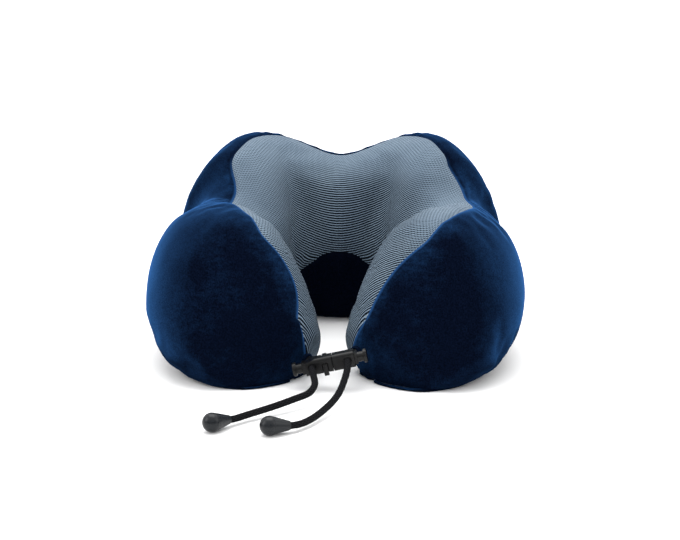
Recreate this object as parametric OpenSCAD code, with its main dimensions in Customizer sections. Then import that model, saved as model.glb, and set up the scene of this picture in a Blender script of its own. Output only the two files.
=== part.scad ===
// U-shaped neck pillow: foam ring in a velour and mesh cover, clasp and two cords at the front.
// Frame: X to the right, Y towards the closed back, Z up, floor at Z = 0, opening at -Y.
// The skin is one formula, skin(u, v, depth): u runs from the left tip (-1) over the back (0)
// to the right tip (1), v goes round the section (0 outer, 90 top, 180 inner, 270 bottom).

/* [Pillow] */
// Radius of the ring's middle line at the back
back_radius = 84; // [78:1:90]
// Half of the tube's width at the back
back_half_width = 48; // [42:1:50]
// Height of the lowest point of the back, behind the neck
back_height = 134; // [120:1:145]
// Height of the two humps that hold the head
hump_height = 150; // [135:1:165]
// Height of the front lobes
lobe_height = 119; // [105:1:130]
// Angle from the back to the end of each arm
arm_sweep = 181; // [176:1:182]

/* [Cover] */
// Thickness of the velour and mesh panels
cloth = 1.2; // [0.8:0.1:1.5]
// Depth of the foam below the outer surface
foam_depth = 2; // [1.8:0.1:2.6]
// Where each arm's panels begin, as a share of the way to the tip
arm_start = 0.36; // [0.34:0.01:0.38]
// Thickness of the grip fabric under the pillow
base_thickness = 1.2; // [0.8:0.1:1.4]

/* [Clasp] */
// Height of the clasp's body
clasp_height = 12; // [11.6:0.1:13]
// Depth of the clasp's body from front to back
clasp_depth = 11; // [10.6:0.1:12]
// Tilt of the clasp as it hangs, right end up
clasp_tilt = 12.5; // [8:0.5:14]
// Diameter of the round heads of the cord locks
lock_head_d = 10.4; // [9:0.2:11]

/* [Cords] */
// Diameter of the braided cords
cord_d = 5; // [4.6:0.1:5.2]
// Diameter of the ball end of each bell
bell_d = 13.5; // [12:0.1:13.6]
// Length of the cone from the ball's middle to the cord
bell_cone = 14.5; // [13:0.5:16]

/* [Hidden] */

velour_blue = [0.04, 0.10, 0.25];
mesh_grey = [0.35, 0.42, 0.50];
black_plastic = [0.05, 0.05, 0.06];
cord_black = [0.03, 0.03, 0.035];
foam_cream = [0.93, 0.89, 0.78];
steel = [0.75, 0.76, 0.78];

// Six stations from the back (0) to the tip (1), a fifth of the way apart
radii = [back_radius, 96, 96, 91, 113, 108];
half_widths = [back_half_width, 49, 51, 43, 55, 40];
heights = [back_height, hump_height, 141, 110, lobe_height, 112];
widest_at = [0.40, 0.40, 0.40, 0.42, 0.28, 0.36];
leans = [1, 9, 4, 4, -18, 1];
top_powers = [2.2, 2.25, 2.2, 2.35, 2.15, 2.25];
top_retreats = [0, 0, 14, 32, 25, 25];
outer_skews = [0, 0, 0, 9, 3, 17];
// v of the lower edge of the mesh: low on the arms, high behind the neck
mesh_low_edges = [174, 185.5, 203.5, 220, 232, 250];

ring_y = 0.45;
low_power = 2.6;
retreat_power = 0.7;
cap_start = 0.88;
cap_power = 1.9;
cap_height = 0.45;
// Depth by which the rounded underside is flattened on the floor
floor_cut = 5;
// Length of one arm along its middle, for depths at the tip
arm_length = 316;
mesh_top_edge = 90;
base_outer_edge = -60;
base_inner_edge = 240;
// Height of the zip's middle, and half of the width of its opening
zip_height = 20;
zip_half_width = 3;
// Share of the arm between two neighbouring bodies' panels
panel_gap = 0.0015;

function slope(k, i) = i == 0 ? 0 : i == 5 ? k[5] - k[4] : (k[i + 1] - k[i - 1]) / 2;
function curve(k, a) =
    let (i = min(4, floor(5 * a)), s = 5 * a - i)
    (2 * pow(s, 3) - 3 * pow(s, 2) + 1) * k[i] + (pow(s, 3) - 2 * pow(s, 2) + s) * slope(k, i)
    + (3 * pow(s, 2) - 2 * pow(s, 3)) * k[i + 1] + (pow(s, 3) - pow(s, 2)) * slope(k, i + 1);
function signed_power(x, p) = sign(x) * pow(abs(x), p);
function smooth(x) = let (c = min(1, max(0, x))) c * c * (3 - 2 * c);

// Share of the full section left at a: 1 along the arm, 0 at the tip
function cap_scale(a) =
    let (x = min(1, max(0, (a - cap_start) / (1 - cap_start))))
    pow(1 - pow(x, cap_power), 1 / cap_power);
// Place along the ring, pulled back from the tip by the depth
function ring_share(a, depth) =
    a <= cap_start ? a
    : cap_start + (a - cap_start) * (1 - depth / arm_length / (1 - cap_start));

// Point of the skin at u and v, below the outer surface by depth
function skin(u, v, depth) =
    let (
        a = min(1, abs(u)),
        h = curve(heights, a),
        middle = curve(widest_at, a) * h,
        s = cap_scale(a),
        above = sin(v) > 0,
        power = 2 / (above ? curve(top_powers, a) : low_power),
        across = signed_power(cos(v), power),
        up = signed_power(sin(v), power),
        z_full = middle + (above ? h - depth - middle : middle - depth) * up,
        z_closed = cap_height * h + (z_full - cap_height * h) * s,
        z = max(depth, (z_closed - floor_cut) * h / (h - floor_cut)),
        rise = z_closed / h,
        radius = curve(radii, a) + s * (curve(half_widths, a) - depth) * across
            + curve(leans, a) * rise * rise * s,
        angle = 90 - arm_sweep * ring_share(a, depth)
            + curve(top_retreats, a) * pow(rise, retreat_power)
            + curve(outer_skews, a) * s * across
    )
    [sign(u) * radius * cos(angle), ring_y + radius * sin(angle), z];

// Lower edges of the panels, which close to one line under each tip
function edge_outer(a) = base_outer_edge - 30 * smooth((a - 0.84) / 0.1);
function edge_inner(a) = base_inner_edge + 30 * smooth((a - 0.84) / 0.1);
function mesh_low(a) = curve(mesh_low_edges, a);
// v on the outer side where the skin has the height z
function outer_v(a, z) =
    let (h = curve(heights, a), middle = curve(widest_at, a) * h)
    -asin(pow(1 - (z * (h - floor_cut) / h + floor_cut) / middle, low_power / 2));
function zip_v(a, offset) = outer_v(a, zip_height + offset);

// Stations along one arm, closer together towards the rounded tip
function arm_stations(side, count) =
    [for (i = [0 : count])
        let (x = i / count)
        side * (arm_start + panel_gap + (1 - arm_start - panel_gap) * (0.55 * x + 0.45 * sin(90 * x)))];
function back_stations(count) =
    [for (i = [0 : count]) (2 * i / count - 1) * (arm_start - panel_gap)];

// A curved sheet of cloth between the v edges lows[i] and highs[i] at each station.
// With a tip, the last station is one point that the whole edge closes to.
module sheet(stations, lows, highs, depth_out, depth_in, steps, tip = false) {
    rows = len(stations) - (tip ? 2 : 1);
    wide = steps + 1;
    layer = (rows + 1) * wide;
    function at(i, j, depth) =
        skin(stations[i], lows[i] + (highs[i] - lows[i]) * j / steps, depth);
    points = concat(
        [for (i = [0 : rows], j = [0 : steps]) at(i, j, depth_out)],
        [for (i = [0 : rows], j = [0 : steps]) at(i, j, depth_in)],
        tip ? [skin(stations[rows + 1], 0, depth_out), skin(stations[rows + 1], 0, depth_in)] : []
    );
    function id(i, j, l) = l * layer + i * wide + j;
    function quad(a, b, c, d) = [[a, b, c], [a, c, d]];
    outer_tip = 2 * layer;
    inner_tip = outer_tip + 1;
    grid = [for (i = [0 : rows - 1], j = [0 : steps - 1]) each concat(
        quad(id(i, j, 0), id(i, j + 1, 0), id(i + 1, j + 1, 0), id(i + 1, j, 0)),
        quad(id(i, j, 1), id(i + 1, j, 1), id(i + 1, j + 1, 1), id(i, j + 1, 1)))];
    sides = [for (i = [0 : rows - 1]) each concat(
        quad(id(i, 0, 0), id(i + 1, 0, 0), id(i + 1, 0, 1), id(i, 0, 1)),
        quad(id(i, steps, 0), id(i, steps, 1), id(i + 1, steps, 1), id(i + 1, steps, 0)))];
    start = [for (j = [0 : steps - 1]) each
        quad(id(0, j, 0), id(0, j, 1), id(0, j + 1, 1), id(0, j + 1, 0))];
    end = !tip
        ? [for (j = [0 : steps - 1]) each
            quad(id(rows, j, 0), id(rows, j + 1, 0), id(rows, j + 1, 1), id(rows, j, 1))]
        : concat(
            [for (j = [0 : steps - 1]) each [
                [id(rows, j, 0), id(rows, j + 1, 0), outer_tip],
                [id(rows, j + 1, 1), id(rows, j, 1), inner_tip]]],
            quad(id(rows, 0, 0), outer_tip, inner_tip, id(rows, 0, 1)),
            quad(id(rows, steps, 0), id(rows, steps, 1), inner_tip, outer_tip));
    turned = stations[len(stations) - 1] < stations[0];
    faces = concat(grid, sides, start, end);
    polyhedron(points, turned ? [for (f = faces) [f[2], f[1], f[0]]] : faces);
}

// A closed body of foam made of rings, with a flat fan at each cut and a point at a tip
module foam_body(stations, steps, tip = false) {
    rows = len(stations) - (tip ? 2 : 1);
    rings = [for (i = [0 : rows]) [for (j = [0 : steps - 1]) skin(stations[i], 360 * j / steps, foam_depth)]];
    function centre(ring) = [for (k = [0 : 2]) let (c = [for (p = ring) p[k]]) c * [for (p = ring) 1] / steps];
    points = concat(
        [for (ring = rings) each ring],
        [centre(rings[0])],
        [tip ? skin(stations[rows + 1], 0, foam_depth) : centre(rings[rows])]
    );
    start_point = (rows + 1) * steps;
    end_point = start_point + 1;
    function id(i, j) = i * steps + j % steps;
    walls = [for (i = [0 : rows - 1], j = [0 : steps - 1]) each [
        [id(i, j), id(i, j + 1), id(i + 1, j + 1)],
        [id(i, j), id(i + 1, j + 1), id(i + 1, j)]]];
    ends = [for (j = [0 : steps - 1]) each [
        [id(0, j + 1), id(0, j), start_point],
        [id(rows, j), id(rows, j + 1), end_point]]];
    turned = stations[len(stations) - 1] < stations[0];
    faces = concat(walls, ends);
    polyhedron(points, turned ? [for (f = faces) [f[2], f[1], f[0]]] : faces);
}

arm_steps = 24;
back_steps = 18;
left = arm_stations(-1, arm_steps);
right = arm_stations(1, arm_steps);
back = back_stations(back_steps);

module foam_back() { color(foam_cream) foam_body(back, 30); }
module foam_left() { color(foam_cream) foam_body(left, 30, tip = true); }
module foam_right() { color(foam_cream) foam_body(right, 30, tip = true); }

// Outer velour: from the base or the zip up to the mesh seam on the ridge
module velour_arm(stations) {
    color(velour_blue) sheet(stations, [for (u = stations) edge_outer(abs(u))],
        [for (u = stations) mesh_top_edge - 0.3], 0, cloth, 12, tip = true);
}
module velour_left() { velour_arm(left); }
module velour_right() { velour_arm(right); }
module velour_back() {
    color(velour_blue) sheet(back, [for (u = back) zip_v(abs(u), zip_half_width)],
        [for (u = back) mesh_top_edge - 0.3], 0, cloth, 9);
}
module velour_skirt() {
    color(velour_blue) sheet(back, [for (u = back) base_outer_edge],
        [for (u = back) zip_v(abs(u), -zip_half_width)], 0, cloth, 3);
}

// Mesh: from the ridge down the inner side to the low seam
module mesh_arm(stations) {
    color(mesh_grey) sheet(stations, [for (u = stations) mesh_top_edge + 0.3],
        [for (u = stations) mesh_low(abs(u)) - 0.3], 0, cloth, 10, tip = true);
}
module mesh_left() { mesh_arm(left); }
module mesh_right() { mesh_arm(right); }
module mesh_back() {
    color(mesh_grey) sheet(back, [for (u = back) mesh_top_edge + 0.3],
        [for (u = back) mesh_low(abs(u)) - 0.3], 0, cloth, 8);
}

// Inner velour: from the low seam down to the base
module inner_velour_arm(stations) {
    color(velour_blue) sheet(stations, [for (u = stations) mesh_low(abs(u)) + 0.3],
        [for (u = stations) edge_inner(abs(u)) - 0.3], 0, cloth, 4, tip = true);
}
module inner_velour_left() { inner_velour_arm(left); }
module inner_velour_right() { inner_velour_arm(right); }
module inner_velour_back() {
    color(velour_blue) sheet(back, [for (u = back) mesh_low(abs(u)) + 0.3],
        [for (u = back) base_inner_edge - 0.3], 0, cloth, 5);
}

// Grip fabric under the pillow: flat, between the two lower edges
module base_panel(stations) {
    // The edges stand in from the panels beside them
    inset = 3.8;
    outline = concat(
        [for (u = stations) let (p = skin(u, edge_outer(abs(u)) - inset, 0)) [p[0], p[1]]],
        [for (i = [len(stations) - 1 : -1 : 0])
            let (u = stations[i], p = skin(u, edge_inner(abs(u)) + inset, 0)) [p[0], p[1]]]
    );
    color(velour_blue) linear_extrude(base_thickness) polygon(outline);
}
// The base under an arm ends where the tip lifts off the floor
base_end = 0.885;
function on_floor(stations) = [for (u = stations) if (abs(u) < base_end) u];
module base_back() { base_panel(back); }
module base_left() { base_panel(on_floor(left)); }
module base_right() { base_panel(on_floor(right)); }

// Zip along the back at one height: tapes, rows of teeth, slider, pull and stops.
// Offsets are heights above and below the zip's middle.
teeth_end = 0.185;
teeth_low = 0.06;
teeth_high = 0.6;
tape_low = 1.1;
tape_high = zip_half_width - 0.2;
module zip_strip(stations, low, high, depth_out, depth_in) {
    sheet(stations, [for (u = stations) zip_v(abs(u), low)],
        [for (u = stations) zip_v(abs(u), high)], depth_out, depth_in, 1);
}
module zip_tape_upper() { color(velour_blue) zip_strip(back, tape_low, tape_high, 0.3, 0.9); }
module zip_tape_lower() { color(velour_blue) zip_strip(back, -tape_high, -tape_low, 0.3, 0.9); }
teeth_stations = [for (i = [0 : 16]) (i / 8 - 1) * teeth_end];
module zip_teeth_upper() { color(cord_black) zip_strip(teeth_stations, teeth_low, teeth_high, -0.5, 0.9); }
module zip_teeth_lower() { color(cord_black) zip_strip(teeth_stations, -teeth_high, -teeth_low, -0.5, 0.9); }

// Place on the zip at u: X along the zip, Y outwards, Z up
module on_zip(u) {
    p = skin(u, zip_v(abs(u), 0), 0);
    q = skin(u + 0.01, zip_v(abs(u + 0.01), 0), 0);
    translate(p) rotate([0, 0, atan2(q[1] - p[1], q[0] - p[0])]) children();
}
slider_u = -0.152;
// The slider rides outside the teeth and clears them along its whole arc
slider_gap = 2.3;
slider_size = [9, 1.8, 6.4];
bridge_size = [5, 2.2, 3.2];
pin_out = slider_gap + slider_size[1] + bridge_size[1] / 2;
pin_d = 1.2;
// The slider's narrow end is cut in by a round notch above and below
notch_r = 3;
notch_at = [5.6, 4.6];
module zip_slider() {
    color(black_plastic) on_zip(slider_u) {
        difference() {
            translate([-slider_size[0] / 2, slider_gap, -slider_size[2] / 2]) cube(slider_size);
            for (side = [-1, 1])
                translate([notch_at[0], slider_gap - 1, side * notch_at[1]])
                    rotate([-90, 0, 0]) cylinder(h = 5, r = notch_r, $fn = 32);
        }
        difference() {
            translate([-bridge_size[0] / 2, slider_gap + slider_size[1] - 0.1, -bridge_size[2] / 2])
                cube(bridge_size);
            translate([0, pin_out, -3]) cylinder(h = 6, d = pin_d + 0.4, $fn = 24);
        }
    }
}
// The pull lies back over the slider's outer end, away from the middle
pull_length = 22;
pull_width = 6;
pull_leg = 8.6;
module zip_pull() {
    color(black_plastic) on_zip(slider_u) translate([0, pin_out, 0]) {
        cylinder(h = 5, d = pin_d, center = true, $fn = 24);
        for (side = [-1, 1])
            translate([-pull_leg, -pin_d / 2, side * 2.2 - 0.35]) cube([pull_leg + 0.6, pin_d, 0.7]);
        difference() {
            translate([-pull_length, -pin_d / 2, -pull_width / 2])
                cube([pull_length - pull_leg + 0.1, pin_d, pull_width]);
            translate([3.4 - pull_length, -2, 0]) rotate([-90, 0, 0]) cylinder(h = 4, d = 3, $fn = 32);
        }
    }
}
stop_size = [1.6, 1, 4];
module zip_stop(u) {
    color(black_plastic) on_zip(u) translate([-stop_size[0] / 2, 0.7, -stop_size[2] / 2]) cube(stop_size);
}
module zip_stop_left() { zip_stop(-teeth_end - 0.008); }
module zip_stop_right() { zip_stop(teeth_end + 0.008); }

// Clasp: its own axis runs along X from the parting line, front is -Y
clasp_place = [1.5, -122, 20.5];
socket_length = 20.5;
plug_length = 16;
parting_gap = 0.3;
corner = 2.6;
cord_hole_d = 5.6;
// Distance of the socket's cord hole from the parting line
socket_hole = 15.5;
// Shift that turns the socket's lock into the plug's lock
plug_shift = plug_length - socket_length;
lock_pocket = [11.3, 6.6, 9.2];
module clasp_frame() { translate(clasp_place) rotate([0, -clasp_tilt, 0]) children(); }
module mirrored_lock() { translate([plug_shift, 0, 0]) mirror([1, 0, 0]) children(); }

// A bar with rounded long edges, from x0 to x1
module rounded_bar(x0, x1, depth, height) {
    translate([x0, 0, 0]) rotate([90, 0, 90]) linear_extrude(x1 - x0) {
        square([depth - 2 * corner, height], center = true);
        square([depth, height - 2 * corner], center = true);
        for (sy = [-1, 1], sz = [-1, 1])
            translate([sy * (depth / 2 - corner), sz * (height / 2 - corner)]) circle(corner, $fn = 40);
    }
}
// Pocket for the lock button and its spring, open at the outer end, and the cord hole
module lock_cavity() {
    translate([-socket_length - 1, -lock_pocket[1] / 2, -lock_pocket[2] / 2])
        cube([lock_pocket[0] + 1, lock_pocket[1], lock_pocket[2]]);
    translate([-socket_hole, 0, 0]) rotate([90, 0, 0])
        cylinder(h = 2 * clasp_depth, d = cord_hole_d, center = true, $fn = 48);
}
// Window at the front and lower corner where a release prong shows
module prong_window() {
    translate([-7.9, -clasp_depth, -clasp_height]) cube([4.5, clasp_depth - 1.8, clasp_height + 1.6]);
}
module clasp_socket() {
    color(black_plastic) clasp_frame() difference() {
        rounded_bar(-socket_length, -parting_gap, clasp_depth, clasp_height);
        lock_cavity();
        translate([-7.9, -4.2, -3.6]) cube([9, 8.4, 7.2]);
        prong_window();
        rotate([180, 0, 0]) prong_window();
        translate([-12, 0, clasp_height / 2]) rotate([0, -14, 0])
            translate([-20, -clasp_depth, 0]) cube([20, 2 * clasp_depth, 6]);
    }
}
module clasp_plug() {
    color(black_plastic) clasp_frame() {
        difference() {
            rounded_bar(parting_gap, plug_length, clasp_depth, clasp_height);
            mirrored_lock() lock_cavity();
        }
        translate([-6.8, -1, -3]) cube([6.8 + parting_gap, 2, 6]);
    }
}
// A springy prong that snaps into the socket, with its button in the window
module release_prong(button_low) {
    translate([-7.3, -3.9, -3]) cube([7.4, 1.2, 6]);
    translate([-7.3, -6.3, button_low]) cube([3.4, 2.6, 1.2 - button_low]);
}
module release_prong_front() { color(black_plastic) clasp_frame() release_prong(-7.4); }
// The back button ends flush with the clasp's top
module release_prong_back() {
    color(black_plastic) clasp_frame() rotate([180, 0, 0]) release_prong(0.2 - clasp_height / 2);
}

// Cord lock: a slotted block with a round head; the spring pushes it out and pinches the cord
slot_start = 12.6;
slot_end = 20.4;
block_end = 22.8;
module lock_button() {
    difference() {
        translate([-block_end, -3.1, -4.4]) cube([block_end - 11.7, 6.2, 8.8]);
        translate([-slot_end, -4, -2.9]) cube([slot_end - slot_start, 8, 5.8]);
    }
    translate([-block_end - 4.5, 0, 0]) rotate([0, 90, 0]) cylinder(h = 4.6, d = 7.4, $fn = 48);
    translate([-block_end - 6.9, 0, 0]) rotate([0, 90, 0]) {
        cylinder(h = 2.5, d = lock_head_d - 0.8, $fn = 48);
        translate([0, 0, 0.4]) cylinder(h = 1.7, d = lock_head_d, $fn = 48);
    }
}
module lock_button_left() { color(black_plastic) clasp_frame() lock_button(); }
module lock_button_right() { color(black_plastic) clasp_frame() mirrored_lock() lock_button(); }

// Tube swept along a list of points by rings that stay square to the route
function unit(v) = v / norm(v);
function heading(route, i) = unit(route[min(len(route) - 1, i + 1)] - route[max(0, i - 1)]);
function next_side(side, t) = unit(side - (side * t) * t);
function sides(route, i, side) =
    i == len(route) ? []
    : let (s = next_side(side, heading(route, i))) concat([s], sides(route, i + 1, s));
module tube(route, d, edges) {
    last = len(route) - 1;
    first_side = abs(heading(route, 0)[2]) < 0.9 ? [0, 0, 1] : [1, 0, 0];
    across = sides(route, 0, first_side);
    points = concat(
        [for (i = [0 : last], k = [0 : edges - 1])
            let (t = heading(route, i), s = across[i], b = cross(t, s), w = 360 * k / edges)
            route[i] + d / 2 * (cos(w) * s + sin(w) * b)],
        [route[0], route[last]]
    );
    function id(i, k) = i * edges + k % edges;
    end_a = (last + 1) * edges;
    end_b = end_a + 1;
    faces = concat(
        [for (i = [0 : last - 1], k = [0 : edges - 1]) each [
            [id(i, k), id(i + 1, k + 1), id(i, k + 1)],
            [id(i, k), id(i + 1, k), id(i + 1, k + 1)]]],
        [for (k = [0 : edges - 1]) each [
            [id(0, k), id(0, k + 1), end_a],
            [id(last, k + 1), id(last, k), end_b]]]
    );
    polyhedron(points, faces);
}

// Compression spring between the button and the pocket's floor
spring_turns = 3;
spring_wire = 0.5;
spring_d = 4.6;
module lock_spring() {
    length = 1.5;
    route = [for (i = [0 : 14 * spring_turns]) let (w = 360 * i / 14)
        [-11.35 + length * i / (14 * spring_turns), spring_d / 2 * cos(w), spring_d / 2 * sin(w)]];
    tube(route, spring_wire, 6);
}
module lock_spring_left() { color(steel) clasp_frame() lock_spring(); }
module lock_spring_right() { color(steel) clasp_frame() mirrored_lock() lock_spring(); }

// Routes of the cords: out of the arm's tip, through the clasp, and down to the floor
left_route = [
    [-18.2, -105.2, 17], [-16.6, -108.2, 17], [-14.9, -112, 17.1], [-13.7, -116.4, 17.1],
    [-13.6, -121.5, 17.1], [-13.6, -127.5, 17.1], [-12, -137, 15], [-10.5, -148, 12],
    [-14, -159, 9.5], [-24, -168, 8], [-38, -179, 6.2], [-53, -190, 4.8],
    [-62, -198.3, 4.5], [-66, -202, 5], [-72, -207.7, 6]
];
right_route = [
    [18.2, -105.2, 23.4], [16.4, -108.2, 23.3], [14.1, -112, 23], [12.4, -116.4, 22.9],
    [12.2, -121.5, 22.9], [12.2, -127.5, 22.9], [12.5, -137, 20.5], [10.5, -149, 15.5],
    [7, -162, 10.3], [1.5, -175, 7], [-6, -190, 5], [-12.5, -201, 4.4],
    [-18, -207.8, 4.5], [-24, -212, 5], [-31.2, -214.8, 6]
];
// Smooth curve through the route's points, with four steps between neighbours
function bend(p0, p1, p2, p3, s) =
    0.5 * (2 * p1 + (p2 - p0) * s + (2 * p0 - 5 * p1 + 4 * p2 - p3) * s * s
    + (3 * p1 - p0 - 3 * p2 + p3) * s * s * s);
function smooth_route(r) =
    let (last = len(r) - 1)
    concat(
        [for (i = [0 : last - 1], k = [0 : 3])
            bend(r[max(0, i - 1)], r[i], r[i + 1], r[min(last, i + 2)], k / 4)],
        [r[last]]
    );
module cord_left() { color(cord_black) tube(smooth_route(left_route), cord_d, 10); }
module cord_right() { color(cord_black) tube(smooth_route(right_route), cord_d, 10); }

// Stitched sleeve where each cord leaves the tip
module cord_sleeve(route) {
    t = unit(route[1] - route[0]);
    color(cord_black) translate(route[0] + 0.4 * t) rotate([0, acos(t[2]), atan2(t[1], t[0])])
        rotate_extrude($fn = 40) translate([cord_d / 2 + 0.15, 0])
            polygon([[0, 0], [1.7, 0], [1, 2.6], [0, 2.6]]);
}
module cord_sleeve_left() { cord_sleeve(left_route); }
module cord_sleeve_right() { cord_sleeve(right_route); }

// Bells: a hollow cone and a round cap that snap together over the knotted cord end
bell_small_d = 6.4;
bell_joint = 2.2;
bell_wall = 1.3;
knot_d = 7.4;
module at_bell(route, ball) {
    end = route[len(route) - 1];
    t = unit(ball - end);
    translate(ball) rotate([0, acos(t[2]), atan2(t[1], t[0])]) children();
}
left_ball = [-76.8, -212.3, bell_d / 2];
right_ball = [-37.5, -217.2, bell_d / 2];
module bell_cone_shell() {
    rotate_extrude($fn = 64) difference() {
        polygon([[0, -bell_joint - 0.1], [bell_d / 2 - 0.4, -bell_joint - 0.1],
            [bell_small_d / 2, -bell_cone], [0, -bell_cone]]);
        translate([0, -bell_cone - 1]) square([cord_d / 2 + 0.2, bell_cone]);
        polygon([[0, -bell_joint + 1], [bell_d / 2 - 0.4 - bell_wall, -bell_joint + 1],
            [bell_d / 2 - 0.4 - bell_wall, -bell_joint - 0.1], [knot_d / 2 + 0.2, -7], [0, -7]]);
    }
}
module bell_cap_shell() {
    rotate_extrude($fn = 64) difference() {
        intersection() {
            circle(bell_d / 2, $fn = 96);
            translate([0, -bell_joint]) square([bell_d, bell_d]);
        }
        intersection() {
            circle(bell_d / 2 - bell_wall - 0.4, $fn = 96);
            translate([0, -bell_joint - 1]) square([bell_d, bell_d]);
        }
    }
}
module bell_cone_left() { color(black_plastic) at_bell(left_route, left_ball) bell_cone_shell(); }
module bell_cone_right() { color(black_plastic) at_bell(right_route, right_ball) bell_cone_shell(); }
module bell_cap_left() { color(black_plastic) at_bell(left_route, left_ball) bell_cap_shell(); }
module bell_cap_right() { color(black_plastic) at_bell(right_route, right_ball) bell_cap_shell(); }
module cord_knot_left() { color(cord_black) at_bell(left_route, left_ball) cord_knot(); }
module cord_knot_right() { color(cord_black) at_bell(right_route, right_ball) cord_knot(); }
module cord_knot() {
    translate([0, 0, -3]) sphere(d = knot_d, $fn = 48);
}

foam_back();
foam_left();
foam_right();
velour_back();
velour_left();
velour_right();
velour_skirt();
mesh_back();
mesh_left();
mesh_right();
inner_velour_back();
inner_velour_left();
inner_velour_right();
base_back();
base_left();
base_right();
zip_tape_upper();
zip_tape_lower();
zip_teeth_upper();
zip_teeth_lower();
zip_slider();
zip_pull();
zip_stop_left();
zip_stop_right();
clasp_socket();
clasp_plug();
release_prong_front();
release_prong_back();
lock_button_left();
lock_button_right();
lock_spring_left();
lock_spring_right();
cord_sleeve_left();
cord_sleeve_right();
cord_left();
cord_right();
cord_knot_left();
cord_knot_right();
bell_cone_left();
bell_cone_right();
bell_cap_left();
bell_cap_right();
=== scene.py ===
"""U-shaped neck pillow: velour and mesh cover over a foam ring, with a clasp and two braided cords.

Metres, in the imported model's frame: X right, Y towards the closed back, Z up, floor at Z = 0.
"""

import math

import bmesh
import bpy
import numpy as np
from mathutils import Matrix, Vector, kdtree, noise


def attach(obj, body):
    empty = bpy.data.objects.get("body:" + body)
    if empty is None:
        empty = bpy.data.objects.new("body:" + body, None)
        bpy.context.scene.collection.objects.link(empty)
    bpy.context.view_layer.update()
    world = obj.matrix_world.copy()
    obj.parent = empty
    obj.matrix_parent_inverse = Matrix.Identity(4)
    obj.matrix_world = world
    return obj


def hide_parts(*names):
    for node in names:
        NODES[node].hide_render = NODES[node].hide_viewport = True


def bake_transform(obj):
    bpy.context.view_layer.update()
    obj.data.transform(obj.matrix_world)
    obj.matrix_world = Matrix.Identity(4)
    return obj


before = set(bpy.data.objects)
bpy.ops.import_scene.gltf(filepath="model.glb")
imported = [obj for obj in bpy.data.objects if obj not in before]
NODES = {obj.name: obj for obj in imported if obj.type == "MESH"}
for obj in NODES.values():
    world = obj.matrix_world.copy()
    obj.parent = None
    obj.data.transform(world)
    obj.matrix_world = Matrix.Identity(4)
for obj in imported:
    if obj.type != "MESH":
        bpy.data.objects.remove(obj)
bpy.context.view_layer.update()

# ---------------------------------------------------------------- the pillow's skin
# The same formula as in part.scad. Six stations from the back (0) to the tip (1).
RADII = [.084, .096, .096, .091, .113, .108]
HALF_WIDTHS = [.048, .049, .051, .043, .055, .040]
HEIGHTS = [.134, .150, .141, .110, .119, .112]
WIDEST_AT = [.40, .40, .40, .42, .28, .36]
LEANS = [.001, .009, .004, .004, -.018, .001]
TOP_POWERS = [2.2, 2.25, 2.2, 2.35, 2.15, 2.25]
TOP_RETREATS = [0, 0, 14, 32, 25, 25]
OUTER_SKEWS = [0, 0, 0, 9, 3, 17]
MESH_LOW_EDGES = [174, 185.5, 203.5, 220, 232, 250]
RING_Y = .00045
ARM_SWEEP = 181
CAP_START = .88
CAP_POWER = 1.9
CAP_HEIGHT = .45
FLOOR_CUT = .005
ARM_LENGTH = .316
LOW_POWER = 2.6
RETREAT_POWER = .7
ZIP_HEIGHT = .020
ZIP_HALF_WIDTH = .0036
CLOTH = .0012
FOAM_DEPTH = .0075
BASE_NARROWS = .84


def curve(keys, a):
    """Smooth value between six stations, at the share a of the way to the tip."""
    k = np.asarray(keys, float)
    slopes = np.gradient(k)
    slopes[0] = 0
    i = np.clip(np.floor(5 * a).astype(int), 0, 4)
    s = 5 * a - i
    return ((2 * s**3 - 3 * s**2 + 1) * k[i] + (s**3 - 2 * s**2 + s) * slopes[i]
            + (3 * s**2 - 2 * s**3) * k[i + 1] + (s**3 - s**2) * slopes[i + 1])


def smooth(x):
    c = np.clip(x, 0, 1)
    return c * c * (3 - 2 * c)


def signed_power(x, p):
    return np.sign(x) * np.abs(x)**p


def skin(u, v, depth=0.0):
    """Points of the skin, u from the left tip (-1) to the right tip (1), v in degrees round the section."""
    u, v, depth = np.broadcast_arrays(np.asarray(u, float), np.asarray(v, float), depth)
    a = np.minimum(1, np.abs(u))
    h = curve(HEIGHTS, a)
    middle = curve(WIDEST_AT, a) * h
    x = np.clip((a - CAP_START) / (1 - CAP_START), 0, 1)
    s = (1 - x**CAP_POWER)**(1 / CAP_POWER)
    sin_v, cos_v = np.sin(np.radians(v)), np.cos(np.radians(v))
    above = sin_v > 0
    power = 2 / np.where(above, curve(TOP_POWERS, a), LOW_POWER)
    across = signed_power(cos_v, power)
    up = signed_power(sin_v, power)
    z_full = middle + np.where(above, h - depth - middle, middle - depth) * up
    z_closed = CAP_HEIGHT * h + (z_full - CAP_HEIGHT * h) * s
    z = np.maximum(depth, (z_closed - FLOOR_CUT) * h / (h - FLOOR_CUT))
    rise = z_closed / h
    radius = (curve(RADII, a) + s * (curve(HALF_WIDTHS, a) - depth) * across
              + curve(LEANS, a) * rise**2 * s)
    share = np.where(a <= CAP_START, a,
                     CAP_START + (a - CAP_START) * (1 - depth / ARM_LENGTH / (1 - CAP_START)))
    angle = np.radians(90 - ARM_SWEEP * share + curve(TOP_RETREATS, a) * rise**RETREAT_POWER
                       + curve(OUTER_SKEWS, a) * s * across)
    return np.stack([np.sign(u) * radius * np.cos(angle), RING_Y + radius * np.sin(angle), z], -1)


def edge_outer(a):
    """Outer edge of the base, in degrees round the section; both edges meet under the tip."""
    return -60 - 30 * smooth((a - BASE_NARROWS) / .1)


def edge_inner(a):
    return 240 + 30 * smooth((a - BASE_NARROWS) / .1)


def mesh_low(a, side):
    """Lower edge of the mesh; on the left tip it ends a little lower than on the right one."""
    return curve(MESH_LOW_EDGES, a) + (18 * smooth((a - .8) / .2) if side < 0 else 0)


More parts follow.
